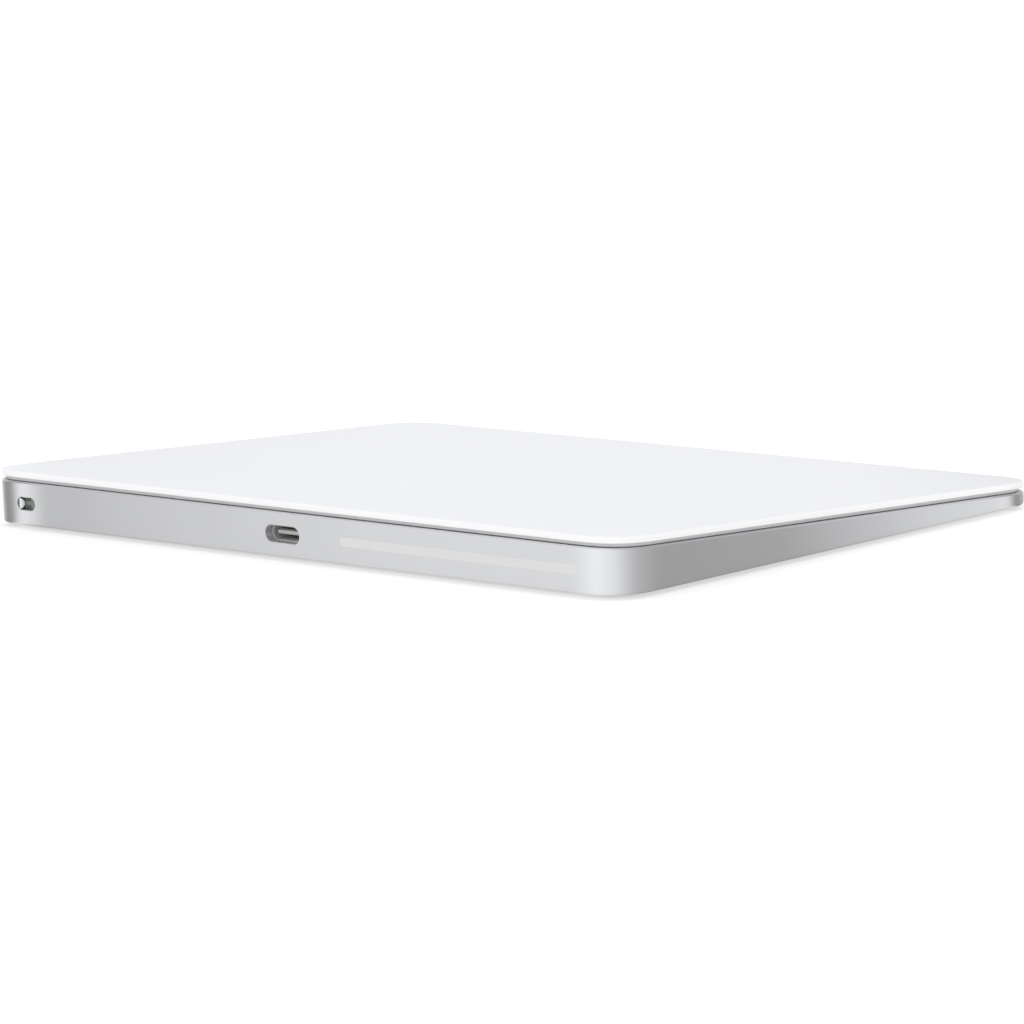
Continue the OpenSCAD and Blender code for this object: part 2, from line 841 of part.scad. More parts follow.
// Body of the slide switch, open to the rear for its lever
module switch_body() {
    lever_run = lever_w + switch_travel + 2 * slider_gap;
    color("#2b2c30")
        difference() {
            translate([knob_x - switch_travel / 2 - switch_w / 2, switch_y - switch_d, board_top])
                cube([switch_w, switch_d, switch_h]);
            translate([knob_x - switch_travel / 2 - lever_run / 2, lever_back - slider_gap,
                lever_z - lever_w / 2 - slider_gap])
                cube([lever_run, switch_d, lever_w + 2 * slider_gap]);
        }
}

// Lever of the slide switch, which the sliding plate takes along
module switch_lever() {
    color("#e8e4da")
        translate([knob_x - lever_w / 2, lever_back, lever_z - lever_w / 2])
            cube([lever_w, slider_back + slider_t / 2 - lever_back, lever_w]);
}

// Sliding plate with the barrel-shaped knob that shows in the slot
module power_knob() {
    crest = rear_y - knob_in;
    crown_r = ((knob_w / 2) ^ 2 + knob_crown ^ 2) / (2 * knob_crown);
    color("#d2d4d7")
        difference() {
            union() {
                from_rear((slider_x0 + slider_x1) / 2, slider_y, port_z, slider_t)
                    round_rect(slider_x1 - slider_x0, slider_h, slider_corner);
                intersection() {
                    from_rear(knob_x, rear_y, port_z, rear_y - slider_y + slider_t / 2)
                        lens(knob_w, knob_h);
                    translate([knob_x, crest - crown_r, port_z])
                        cylinder(r = crown_r, h = slider_h, center = true);
                }
            }
            translate([knob_x - lever_w / 2, slider_back - over, lever_z - lever_w / 2])
                cube([lever_w, slider_t / 2 + over, lever_w]);
        }
}

// Coloured film on the sliding plate, round the knob, that shows when the switch is on
module power_marker() {
    marker_x0 = slider_x0 + slider_lip;
    color("#5fae5a")
        from_rear(knob_x, slider_y + marker_t, port_z, marker_t)
            difference() {
                translate([marker_x0 - knob_x, -(slot_h + slider_lip) / 2])
                    square([knob_x - marker_x0, slot_h + slider_lip]);
                lens(knob_w + 2 * knob_gap, slot_h);
            }
}

// Two pouch cells, stepped at the rear for their boards
module battery_cells() {
    color("#2e3034")
        for (x = [-cell_x, cell_x])
            translate([x, 0, cell_low]) {
                translate([0, (cell_front + cell_rear - ledge_d) / 2, 0])
                    edged_slab(cell_w, cell_d - ledge_d, cell_top - cell_low, cell_corner, 0, cell_round);
                translate([-cell_w / 2 + cell_corner, cell_rear - 2 * ledge_d, 0])
                    cube([cell_w - 2 * cell_corner, 2 * ledge_d, ledge_t]);
            }
}

// Double-sided tape under the cells
module battery_tapes() {
    color("#efe9d8")
        for (x = [-cell_x, cell_x])
            translate([x - cell_w / 2 + cell_corner, cell_front + cell_corner, floor_top])
                cube([cell_w - 2 * cell_corner, cell_d - ledge_d - 2 * cell_corner, cell_tape_t]);
}

// Protection boards on the cells' ledges
module battery_boards() {
    color("#2a6a47")
        for (x = [-cell_x, cell_x])
            translate([x - cell_w / 2 + cell_corner, cell_rear - ledge_d + guard_gap, guard_z])
                cube([cell_w - 2 * cell_corner, ledge_d - guard_gap, guard_t]);
}

// Flat leads from the cells to the main board
module battery_leads() {
    color("#c58b35")
        for (i = [0, 3])
            flex_lead(socket_list[i][0], socket_list[i][1] - 2 * lead_gap,
                [cell_rear - lead_root, guard_z + guard_t + flex_t / 2], 0);
}

// Folded bracket that carries the cores
module haptic_bracket() {
    color("#b4b6ba")
        difference() {
            union() {
                translate([0, cell_mid_y, floor_top])
                    linear_extrude(bracket_t)
                        round_rect(bracket_w, bracket_l, bracket_corner);
                for (x = [-1, 1]) {
                    translate([x * (core_out - yoke_w / 2) - yoke_w / 2, drive_front, floor_top])
                        cube([yoke_w, core_l, core_z0 - floor_top]);
                    translate([x * (core_out + fit_gap + bracket_wall / 2) - bracket_wall / 2,
                        drive_front, floor_top])
                        cube([bracket_wall, core_l, core_z1 - floor_top]);
                }
            }
            translate([0, 0, bracket_top])
                at_ears()
                    screw_hole(bracket_t + over);
        }
}

// Two E-shaped cores that pull the armature bar to either side
module haptic_cores() {
    color("#6d7075")
        for (turn = [0, 180])
            translate([0, cell_mid_y, core_z0])
                rotate([0, 0, turn])
                    linear_extrude(core_z1 - core_z0) {
                        translate([core_x + leg_l, -core_l / 2])
                            square([yoke_w, core_l]);
                        for (y = [-core_l / 2, core_l / 2 - yoke_w])
                            translate([core_x, y])
                                square([leg_l + over, yoke_w]);
                        translate([core_x, -leg_w / 2])
                            square([leg_l + over, leg_w]);
                    }
}

// Copper windings round the middle legs
module haptic_coils() {
    coil_l = leg_l - coil_short;
    coil_in_h = core_z1 - core_z0;
    color("#b5713a")
        for (turn = [0, 180])
            translate([0, cell_mid_y, (core_z0 + core_z1) / 2])
                rotate([0, 0, turn])
                    translate([core_x + leg_l - coil_l, 0, 0])
                        rotate([90, 0, 90])
                            linear_extrude(coil_l)
                                difference() {
                                    round_rect(leg_w + 2 * coil_side, coil_in_h + 2 * coil_wall, coil_corner);
                                    square([leg_w, coil_in_h], center = true);
                                }
}

// Screws that hold the drive's bracket
module haptic_screws() {
    color("#b9babd")
        translate([0, 0, bracket_top])
            at_ears()
                screw(ear_screw_l);
}

// Flat lead from the drive to the main board
module haptic_lead() {
    color("#c58b35")
        flex_lead(socket_list[2][0], socket_list[2][1] - 2 * lead_gap,
            [cell_mid_y + bracket_l / 2 - bracket_corner, bracket_top + flex_t / 2], 0);
}

// Waisted leaf springs, one at each corner
module leaf_springs() {
    color("#9fa2a6")
        on_plane(boss_drop)
            linear_extrude(leaf_t)
                at_springs()
                    difference() {
                        translate([-leaf_w / 2, 0])
                            square([leaf_w, leaf_l]);
                        for (x = [-1, 1]) {
                            for (y = [leaf_seat + notch_r, leaf_l - pad_w - notch_r])
                                translate([x * leaf_w / 2, y])
                                    circle(notch_r);
                            translate([x * leaf_w / 2 - notch_r, leaf_seat + notch_r])
                                square([2 * notch_r, leaf_l - pad_w - leaf_seat - 2 * notch_r]);
                        }
                        at_leaf_screws()
                            circle(d = screw_d + 2 * screw_gap);
                    }
}

// Screws that hold the leaf springs to their bosses
module leaf_screws() {
    color("#b9babd")
        on_plane(leaf_drop)
            at_springs()
                at_leaf_screws()
                    screw(leaf_screw_l);
}

// Strain gauges on the springs' waists, which weigh the press
module strain_gauges() {
    color("#c9a13c")
        on_plane(leaf_drop)
            at_springs()
                translate([-gauge_w / 2, (leaf_seat + leaf_l - pad_w) / 2 - gauge_l / 2, 0])
                    cube([gauge_w, gauge_l, gauge_t]);
}

// Soft pads between the springs' free ends and the carrier plate
module gel_pads() {
    color("#8fb0c4")
        on_plane(leaf_drop)
            at_springs()
                translate([-pad_w / 2, leaf_l - pad_w, 0])
                    cube([pad_w, pad_w, pad_t]);
}

// Steel bar under the plate, between the two cores, staked through the carrier
module armature_bar() {
    color("#7c7f84") {
        difference() {
            translate([-bar_w / 2, drive_front, bar_low])
                cube([bar_w, core_l, rear_h]);
            above_plane(pad_drop);
        }
        on_plane(pad_drop)
            for (y = [-tenon_y, tenon_y])
                translate([-tenon_w / 2, cell_mid_y + y - tenon_l / 2, -carrier_t])
                    cube([tenon_w, tenon_l, 2 * carrier_t]);
    }
}

// Steel plate that carries the touch sensor and hangs on the springs
module carrier_plate() {
    flex_window = 12;
    color("#a7aaae")
        on_plane(pad_drop)
            linear_extrude(carrier_t)
                difference() {
                    plate_outline(carrier_front, carrier_rear);
                    at_springs()
                        translate([-leaf_w / 2, -window_gap])
                            square([leaf_w, leaf_seat + window_gap]);
                    for (y = [-tenon_y, tenon_y])
                        translate([0, cell_mid_y + y])
                            square([tenon_w, tenon_l], center = true);
                    translate([socket_list[1][0] - socket_list[1][1] / 2 - window_gap,
                        board_front - flex_window])
                        square([socket_list[1][1] + 2 * window_gap, flex_window]);
                }
}

// Circuit board with the touch sensor's electrodes
module sensor_board() {
    color("#23262b")
        on_plane(carrier_drop)
            linear_extrude(sensor_t)
                plate_outline(-plate_d / 2, plate_d / 2);
}

// Flat lead from the sensor board down to the main board
module sensor_flex() {
    root_y = board_front - sensor_root;
    color("#c58b35")
        flex_lead(socket_list[1][0], socket_list[1][1] - 2 * lead_gap,
            [root_y, plane_z(root_y, carrier_drop) - flex_t / 2 / cos(tilt) - fit_gap], tilt);
}

// Glue sheet between the sensor board and the glass, and the bevelled bead round it
module glass_glue() {
    bead_in = corner_r - plate_inset + fit_gap;
    bead_out = corner_r - bead_inset;
    color("#f2f3f5") {
        on_plane(sensor_drop)
            linear_extrude(glue_t)
                plate_outline(-plate_d / 2, plate_d / 2);
        on_plane(glass_t)
            translate([0, glass_y, 0])
                edge_sweep(body_w, glass_d, corner_r)
                    polygon([[bead_in, 0], [bead_in, -bead_t], [bead_out - bead_t, -bead_t], [bead_out, 0]]);
    }
}

// White-backed glass plate with rounded edges
module glass() {
    color("#f3f4f8")
        on_plane(glass_t)
            translate([0, glass_y, 0])
                edged_slab(body_w, glass_d, glass_t, corner_r, glass_under_round, glass_round);
}

housing();
bottom_cover();
cover_tape();
feet();
antenna_window();
antenna();
main_board();
board_screws();
board_chips();
radio_shield();
flex_sockets();
usb_shell();
usb_tongue();
usb_contacts();
switch_body();
switch_lever();
power_knob();
power_marker();
battery_cells();
battery_tapes();
battery_boards();
battery_leads();
haptic_bracket();
haptic_cores();
haptic_coils();
haptic_screws();
haptic_lead();
leaf_springs();
leaf_screws();
strain_gauges();
gel_pads();
armature_bar();
carrier_plate();
sensor_board();
sensor_flex();
glass_glue();
glass();
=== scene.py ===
import json
import math

import bmesh
import bpy
import numpy as np
from mathutils import Matrix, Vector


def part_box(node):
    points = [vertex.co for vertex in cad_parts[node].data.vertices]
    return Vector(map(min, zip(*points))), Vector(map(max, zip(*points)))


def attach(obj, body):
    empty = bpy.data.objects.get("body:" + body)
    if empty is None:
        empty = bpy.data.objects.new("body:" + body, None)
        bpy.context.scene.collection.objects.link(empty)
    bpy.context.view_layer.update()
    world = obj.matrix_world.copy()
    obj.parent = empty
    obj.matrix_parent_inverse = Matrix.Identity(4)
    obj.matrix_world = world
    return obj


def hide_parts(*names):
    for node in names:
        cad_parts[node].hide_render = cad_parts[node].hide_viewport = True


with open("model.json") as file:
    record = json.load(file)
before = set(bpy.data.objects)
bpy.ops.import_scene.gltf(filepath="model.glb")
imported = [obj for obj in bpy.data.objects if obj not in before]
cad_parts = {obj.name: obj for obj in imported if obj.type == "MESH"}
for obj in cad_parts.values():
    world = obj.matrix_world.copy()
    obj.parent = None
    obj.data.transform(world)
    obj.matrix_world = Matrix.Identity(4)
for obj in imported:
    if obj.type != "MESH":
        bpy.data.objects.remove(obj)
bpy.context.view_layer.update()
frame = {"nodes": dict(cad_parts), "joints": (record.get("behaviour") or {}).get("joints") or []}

# Tray: one block of aluminium, milled to a wedge with thin walls and a thin floor, then bead-blasted
# and anodised silver. Its rear wall is cut for the port, the power slide and the antenna window, and
# its underside is let in for the bottom cover.
mm = 0.001
wall_t = 1.8 * mm
corner_r = 7.8 * mm
corner_steps = 40
base_round = 0.4 * mm
base_rise = 0.32 * mm
rim_chamfer = 0.25 * mm
floor_fillet = 0.5 * mm
edge = 0.1 * mm
weld = 1e-7
sharp_angle = math.radians(32)
plate_up = -np.array(next(j["axis"] for j in frame["joints"] if j["name"] == "plate_press"))
tray_low, tray_high = (np.array(corner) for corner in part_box("housing"))
case_size = (tray_high - tray_low)[:2]
rear_y = tray_high[1]
inner_y = rear_y - wall_t
base_z = tray_low[2]
floor_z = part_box("haptic_bracket")[0].z
recess_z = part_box("cover_tape")[1].z
port_z = sum(corner.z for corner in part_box("usb_shell")) / 2
cover_gap = 0.15 * mm
cover_land = tray_high[0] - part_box("bottom_cover")[1].x - cover_gap


def reach(node, direction):
    """How far a node's solid goes from the origin along a direction: its corners' largest dot product."""
    mesh = frame["nodes"][node].data
    corners = np.empty(3 * len(mesh.vertices), np.float32)
    mesh.vertices.foreach_get("co", corners)
    return float((corners.reshape(-1, 3) @ np.array(direction)).max())


def plan_outline(size, marks=()):
    """Closed outline of a plate in plan, walked anticlockwise: its points and outward normals.

    Along a corner the curvature rises and falls as a raised cosine, so the heading turns by a quarter
    turn times t - sin(2 pi t) / (2 pi), and the points are the running sum of the heading's unit
    vectors, scaled to pass as near the sharp corner as an arc of corner_r does. Each mark is (x, inset)
    and adds points on the rear side, so that the outline moved in by inset has a point at each x."""
    t = np.linspace(0, 1, 8 * corner_steps + 1)
    turn = np.pi / 2 * (t - np.sin(2 * np.pi * t) / (2 * np.pi))
    step = np.column_stack([np.cos(turn), np.sin(turn)])
    curve = np.vstack([[0, 0], np.cumsum((step[1:] + step[:-1]) / 2, axis=0)])
    curve *= corner_r * (1 - math.sqrt(0.5)) / curve[len(t) // 2, 1]
    points, headings = [], []
    for k in range(4):
        along, across = size[k % 2] / 2, size[(k + 1) % 2] / 2
        c, s = round(math.cos(k * np.pi / 2)), round(math.sin(k * np.pi / 2))
        points.append((curve + (along - curve[-1, 0], -across)) @ np.array([[c, s], [-s, c]]))
        headings.append(turn + k * np.pi / 2)
    points, headings = np.concatenate(points), np.concatenate(headings)
    length = np.concatenate([[0], np.cumsum(np.hypot(*np.diff(points, axis=0).T))])
    kept = [length.reshape(4, -1)[:, ::8].ravel()]
    rear = slice(3 * len(t) // 2, 5 * len(t) // 2)
    for x, inset in marks:
        moved = points[rear, 0] - inset * np.sin(headings[rear])
        kept.append(np.interp(-x, -moved, length[rear]))
    kept = np.unique(np.round(np.concatenate(kept), 9))
    heading = np.interp(kept, length, headings)
    xy = np.column_stack([np.interp(kept, length, points[:, i]) for i in (0, 1)])
    return xy, np.column_stack([np.sin(heading), -np.cos(heading)])


def loft(*rings):
    """Surface through closed rings of equally many points, taken in order: the faces' four corners."""
    grid = np.stack(rings)
    grid = np.concatenate([grid, grid[:, :1]], axis=1)
    return np.stack([grid[:-1, :-1], grid[:-1, 1:], grid[1:, 1:], grid[1:, :-1]], axis=2).reshape(-1, 4, 3)


def shrunk(ring, share):
    """A ring drawn towards its own middle, down to that share of its size."""
    middle = (ring.min(0) + ring.max(0)) / 2
    return middle + share * (ring - middle)


def lid(ring):
    """Flat face inside a ring: rings shrunk step by step to its middle."""
    return loft(*(shrunk(ring, share) for share in (1, 0.7, 0.4, 0)))


def zipped(first, second):
    """Surface between two rings in the X-Z plane, round one middle, with different counts of points: each
    edge of a ring makes a triangle with the other ring's point that comes before its end in angle."""
    def by_angle(ring):
        flat = ring[:, (0, 2)] - (ring.min(0) + ring.max(0))[[0, 2]] / 2
        angle = np.arctan2(*(flat / np.abs(flat).max(0)).T[::-1])
        order = np.argsort(angle)
        return ring[order], angle[order]
    a, angle_a = by_angle(first)
    b, angle_b = by_angle(second)
    next_a, next_b = np.roll(a, -1, axis=0), np.roll(b, -1, axis=0)
    tip_b = b[np.searchsorted(angle_b, np.roll(angle_a, -1), side="left") - 1]
    tip_a = a[np.searchsorted(angle_a, np.roll(angle_b, -1), side="right") - 1]
    return np.concatenate([np.stack([a, next_a, tip_b, tip_b], axis=1),
                           np.stack([next_b, b, tip_a, tip_a], axis=1)])


class Slot:
    """Flat-sided outline in the X-Z plane. Its half height is level between the ends, and each end is a
    superellipse quarter: height / 2 * (1 - t ** power) ** (1 / power), with t from 0 to 1 along it."""

    thinnest = 0.005 * mm
    end_points = 13

    def __init__(self, x, width, height, end, power=2, z=port_z):
        self.x, self.z, self.width, self.height, self.end, self.power = x, z, width, height, end, power

    def grown(self, by):
        """The same outline, moved outwards."""
        return Slot(self.x, self.width + 2 * by, self.height + 2 * by, self.end + by, self.power, self.z)

    def half(self, x):
        """Half the height at each x, and nothing beyond the ends."""
        t = np.clip((np.abs(x - self.x) - self.width / 2 + self.end) / self.end, 0, 1)
        half = self.height / 2 * (1 - t ** self.power) ** (1 / self.power)
        return np.where(half < self.thinnest, 0, half)

    def quarter(self):
        """Reach and half height at even steps of the superellipse's angle."""
        angle = np.linspace(0, np.pi / 2, self.end_points)
        reach_x = self.width / 2 - self.end + self.end * np.sin(angle) ** (2 / self.power)
        return reach_x, self.height / 2 * np.abs(np.cos(angle)) ** (2 / self.power)

    def marks(self):
        """The x of the points that the outline needs."""
        reach_x = self.quarter()[0]
        return np.concatenate([self.x - reach_x, self.x + reach_x])

    def ring(self, y):
        """The outline as a closed ring at depth y, which may be a function of x."""
        reach_x, half = self.quarter()
        x = self.x + np.concatenate([reach_x, reach_x[::-1], -reach_x, -reach_x[::-1]])
        z = self.z + np.concatenate([half, -half[::-1], -half, half[::-1]])
        return np.column_stack([x, y(x) if callable(y) else np.full(len(x), y), z])


def block_ring(low, high, height, power=16):
    """Outline of a small block in plan, a superellipse between two corners, at a height that may follow y."""
    angle = np.linspace(0, 2 * np.pi, 32, endpoint=False) + np.pi / 32
    side = np.column_stack([np.cos(angle), np.sin(angle)])
    side = np.sign(side) * np.abs(side) ** (2 / power)
    xy = (np.array(low) + np.array(high)) / 2 + side * (np.array(high) - np.array(low)) / 2
    return np.column_stack([xy, height(xy) if callable(height) else np.full(len(xy), height)])


def disc_ring(middle, radius, height, count=48):
    """Circle in plan at a height."""
    angle = np.linspace(0, 2 * np.pi, count, endpoint=False)
    return np.column_stack([middle[0] + radius * np.cos(angle), middle[1] + radius * np.sin(angle),
                            np.full(count, height)])


def piece(name, faces, body, material, node):
    """Makes one object from faces given by their corners: welds them, turns them outwards, shades them
    smooth but for edges over the sharp angle, and puts the piece on its body in place of a CAD node."""
    corners = np.concatenate(faces)
    mesh = bpy.data.meshes.new(name)
    mesh.from_pydata(corners.reshape(-1, 3), [], np.arange(4 * len(corners)).reshape(-1, 4))
    welded = bmesh.new()
    welded.from_mesh(mesh)
    bmesh.ops.remove_doubles(welded, verts=welded.verts, dist=weld)
    bmesh.ops.recalc_face_normals(welded, faces=welded.faces)
    welded.to_mesh(mesh)
    welded.free()
    mesh.shade_smooth()
    mesh.set_sharp_from_angle(angle=sharp_angle)
    mesh.materials.append(material)
    made = bpy.data.objects.new(name, mesh)
    bpy.context.scene.collection.objects.link(made)
    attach(made, body)
    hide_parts(node)


class Shade:
    """A socket of a material's nodes. Arithmetic on it adds Math nodes, and node() adds any other kind."""

    def __init__(self, socket):
        self.socket = socket

    def node(self, kind, settings=None, values=None, output=0):
        """Adds a node of that kind, sets its settings first, then fills or links its input sockets."""
        tree = self.socket.id_data
        made = tree.nodes.new("ShaderNode" + kind)
        for key, value in (settings or {}).items():
            setattr(made, key, value)
        for key, value in (values or {}).items():
            if isinstance(value, Shade):
                tree.links.new(value.socket, made.inputs[key])
            else:
                made.inputs[key].default_value = value
        return Shade(made.outputs[output])

    def math(self, operation, *terms):
        return self.node("Math", {"operation": operation}, dict(enumerate(terms)))

    def __add__(self, other):
        return self.math("ADD", self, other)

    def __sub__(self, other):
        return self.math("SUBTRACT", self, other)

    def __rsub__(self, other):
        return self.math("SUBTRACT", other, self)

    def __mul__(self, other):
        return self.math("MULTIPLY", self, other)

    __radd__, __rmul__ = __add__, __mul__

    def mix(self, first, second):
        """Colour that goes from first to second as this value goes from 0 to 1."""
        return self.node("Mix", {"data_type": "RGBA"}, {0: self, 6: first, 7: second}, output=2)

    def noise(self, scale, detail):
        """Noise over this place, from 0 to 1, with so many grains to the metre."""
        return self.node("TexNoise", {}, {"Vector": self, "Scale": scale, "Detail": detail})

    def along(self, direction):
        """How far this place lies along a direction."""
        settings = {"operation": "DOT_PRODUCT"}
        return self.node("VectorMath", settings, {0: self, 1: tuple(direction)}, output="Value")

    def within(self, direction, middle, half):
        """1 where this place lies no farther than half from the middle along a direction, and 0 elsewhere."""
        off = self.along(direction) - middle
        return self.math("LESS_THAN", off.math("ABSOLUTE", off), half)

    def step(self, low, high):
        """Eased step from 0 to 1 as this value goes from low to high."""
        settings = {"interpolation_type": "SMOOTHSTEP"}
        return self.node("MapRange", settings, {"Value": self, "From Min": low, "From Max": high})

    def bands(self, width, share):
        """1 on bands of that pitch along this value, each that share of it wide, and 0 between them."""
        part = self.math("FRACT", self * (1 / width))
        return self.math("LESS_THAN", part, share)

    def bump(self, height, strength):
        """Normal of a surface that rises by height metres where this value is 1."""
        return self.node("Bump", {}, {"Strength": strength, "Distance": height, "Height": self})


def finish(name, **constants):
    """A new material with its even values set on the shader: the material, a function that wires
    varying values to the shader's sockets, and the place on the piece."""
    made = bpy.data.materials.new(name)
    made.use_nodes = True
    tree = made.node_tree
    shader = tree.nodes["Principled BSDF"]
    for key, value in constants.items():
        shader.inputs[key.replace("_", " ")].default_value = value

    def wire(**shades):
        for key, shade in shades.items():
            tree.links.new(shade.socket, shader.inputs[key.replace("_", " ")])
    return made, wire, Shade(tree.nodes.new("ShaderNodeTexCoord").outputs["Object"])


def blasted_metal(name, light, dark, roughness, dull=None):
    """Bead-blasted metal: grains of about a tenth of a millimetre roughen a soft shine. It has the less
    shine the larger dull is, a function of the place."""
    made, wire, place = finish(name, Metallic=1.0)
    grain = place.noise(9000, 3)
    patch = place.noise(90, 2)
    wire(Base_Color=(0.7 * grain + 0.3 * patch).mix((*dark, 1), (*light, 1)),
         Roughness=roughness - 0.04 + 0.08 * grain,
         Normal=grain.bump(0.004 * mm, 0.35))
    if dull:
        wire(Metallic=1 - dull(place))
    return made


pocket_end = 0.3 * mm
pocket_power = 8
port_hole = Slot(0, 8.6 * mm, 3 * mm, 1.5 * mm)
power_hole = Slot(68.6 * mm, 5 * mm, 2.35 * mm, 1.175 * mm)
window_low, window_high = (np.array(corner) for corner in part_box("antenna_window"))
flange_w = 0.95 * mm
flange_t = 0.6 * mm
flange_gap = 0.05 * mm
window_hole = Slot((window_low[0] + window_high[0]) / 2, window_high[0] - window_low[0] - 2 * flange_w,
                   window_high[2] - window_low[2] - 2 * flange_w, 0.75 * mm, 2.6)
window_pocket = Slot(window_hole.x, window_hole.width + 2 * (flange_w + flange_gap),
                     window_hole.height + 2 * (flange_w + flange_gap), pocket_end, pocket_power)
slide_travel = next(j["range_m"][1] for j in frame["joints"] if j["name"] == "power_slide")
slide_low, slide_high = (np.array(corner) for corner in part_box("power_knob"))
slide_gap = 0.12 * mm
slot_lip = 0.9 * mm
power_pocket = Slot((slide_low[0] + slide_high[0] - slide_travel) / 2,
                    slide_high[0] - slide_low[0] + slide_travel + 2 * slide_gap,
                    slide_high[2] - slide_low[2] + 2 * slide_gap, pocket_end, pocket_power)
rim_reach = reach("housing", plate_up)


def unblasted(place):
    """Where the blasting doesn't reach: 0.4 in the port's hole and 0.8 on the rim's land under the glass."""
    hole = place.within((1, 0, 0), 0, port_hole.width / 2 + edge)
    hole = hole * place.within((0, 0, 1), port_z, port_hole.height / 2 + edge)
    hole = hole * place.within((0, 1, 0), (rear_y + inner_y) / 2 - edge, wall_t / 2)
    return 0.4 * hole + 0.8 * place.within(plate_up, rim_reach, edge / 4)


tray_metal = blasted_metal("blasted_aluminium", (0.68, 0.685, 0.695), (0.6, 0.605, 0.615), 0.34, unblasted)
mouths = {port_hole: 0.14 * mm, power_hole: 0.1 * mm, window_hole: 0.01 * mm}
outer_holes = [hole.grown(mouth) for hole, mouth in mouths.items()]
inner_holes = [port_hole, power_pocket, window_pocket]
case_path, case_out = plan_outline(case_size, [(hole.marks(), 0) for hole in outer_holes]
                                   + [(hole.marks(), wall_t) for hole in inner_holes])


def below_rim(drop):
    """Height of the plane that lies drop under the tilted rim, as a function of the place in plan."""
    return lambda xy: (rim_reach - drop - plate_up[1] * xy[:, 1]) / plate_up[2]


def case_ring(inset, height):
    """The case's outline moved in by inset, at a height that may follow the rim."""
    xy = case_path - inset * case_out
    return np.column_stack([xy, height(xy) if callable(height) else np.full(len(xy), height)])


def cut_wall(low, high, holes):
    """Wall between two rings, parted along a middle line where it has holes: below the line it ends half
    a hole's height lower, above the line it starts half a height higher. Gives faces and the holes' rings."""
    rear = low[:, 1].argmax()
    middle = low + (port_z - low[rear, 2]) / (high[rear, 2] - low[rear, 2]) * (high - low)
    half = np.where(low[:, 1] > 0, sum(hole.half(low[:, 0]) for hole in holes), 0)
    part = np.column_stack([np.zeros((len(half), 2)), half])
    rings = []
    for hole in holes:
        on = np.flatnonzero((low[:, 1] > 0) & (np.abs(low[:, 0] - hole.x) < hole.width / 2 + weld))
        rings.append(np.concatenate([(middle + part)[on], (middle - part)[on][::-1]]))
    return np.concatenate([loft(low, middle - part), loft(middle + part, high)]), rings


def drawn_in(ring, hole, depth):
    """A hole's ring on the wall's face, narrowed to the hole's own size and moved in by depth."""
    inner = ring.copy()
    inner[:, 0] = hole.x + (ring[:, 0] - hole.x) * hole.width / np.ptp(ring[:, 0])
    inner[:, 1] -= depth
    inner[:, 2] = hole.z + np.sign(ring[:, 2] - hole.z) * hole.half(inner[:, 0])
    return inner


def at_depth(ring, y):
    """A ring moved flat to the depth y."""
    return np.column_stack([ring[:, 0], np.full(len(ring), y), ring[:, 2]])


turn = np.linspace(0, np.pi / 2, 7)
underside = [case_ring(cover_land, recess_z), case_ring(cover_land, base_z + edge),
             case_ring(cover_land - edge, base_z)]
underside += [case_ring(base_round * (1 - np.sin(a)), base_z + base_rise + base_round * (1 - np.cos(a)))
              for a in turn]
rim = [case_ring(0, below_rim(rim_chamfer)), case_ring(rim_chamfer, below_rim(0)),
       case_ring(wall_t - edge, below_rim(0)), case_ring(wall_t, below_rim(edge))]
inside = [case_ring(wall_t + floor_fillet * (1 - np.cos(a)), floor_z + floor_fillet * (1 - np.sin(a)))
          for a in turn[::-1]]
outer_wall, outer_rings = cut_wall(underside[-1], rim[0], outer_holes)
inner_wall, inner_rings = cut_wall(inside[0], rim[-1], inner_holes)
tray_faces = [lid(underside[0]), loft(*underside), outer_wall, loft(*rim), inner_wall, loft(*inside),
              lid(inside[-1])]
for face_ring, inner_ring, (hole, mouth) in zip(outer_rings, inner_rings, mouths.items()):
    throat = drawn_in(face_ring, hole, mouth)
    if hole is port_hole:
        tray_faces += [loft(face_ring, throat), zipped(throat, inner_ring)]
    else:
        shelf_y = rear_y - slot_lip if hole is power_hole else inner_y + flange_t
        seat, shelf = at_depth(throat, shelf_y), at_depth(inner_ring, shelf_y)
        tray_faces += [loft(face_ring, throat, seat), zipped(seat, shelf), loft(shelf, inner_ring)]
leaf_low, leaf_high = (np.array(corner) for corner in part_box("leaf_springs"))
leaf_size = np.array([9, 7]) * mm
boss_margin = 0.6 * mm
boss_reach = -reach("leaf_springs", -plate_up)


def boss_top(xy):
    """Height of the plane under the leaf springs."""
    return (boss_reach - plate_up[1] * xy[:, 1]) / plate_up[2]


for side_x in (leaf_low[0], leaf_high[0] - leaf_size[0]):
    for side_y in (leaf_low[1], leaf_high[1] - leaf_size[1]):
        start = np.array([side_x, side_y]) - boss_margin
        end = np.array([side_x, side_y]) + leaf_size + boss_margin
        foot = block_ring(start, end, floor_z - edge)
        tray_faces += [lid(foot), loft(foot, block_ring(start, end, boss_top)),
                       lid(block_ring(start, end, boss_top))]
board_low, board_high = (np.array(corner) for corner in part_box("main_board"))
board_screw_y = (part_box("board_screws")[0].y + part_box("board_screws")[1].y) / 2
board_screw_x = np.array([-20, 12, 54.1]) * mm
boss_r = 2.1 * mm
for boss_x in board_screw_x:
    foot = disc_ring((boss_x, board_screw_y), boss_r, floor_z - edge)
    top = disc_ring((boss_x, board_screw_y), boss_r, board_low[2])
    tray_faces += [lid(foot), loft(foot, top), lid(top)]
piece("tray", tray_faces, "base", tray_metal, "housing")

# Antenna window: a moulded strip of pale plastic that lets the radio through the metal wall. It is
# pushed in from inside, flush with the wall, and glued on its flange. The antenna behind it is a
# stamped and gilded strip, soldered to the main board.
window_sunk = 0.004 * mm
rear_side = case_path[:, 1] > 0


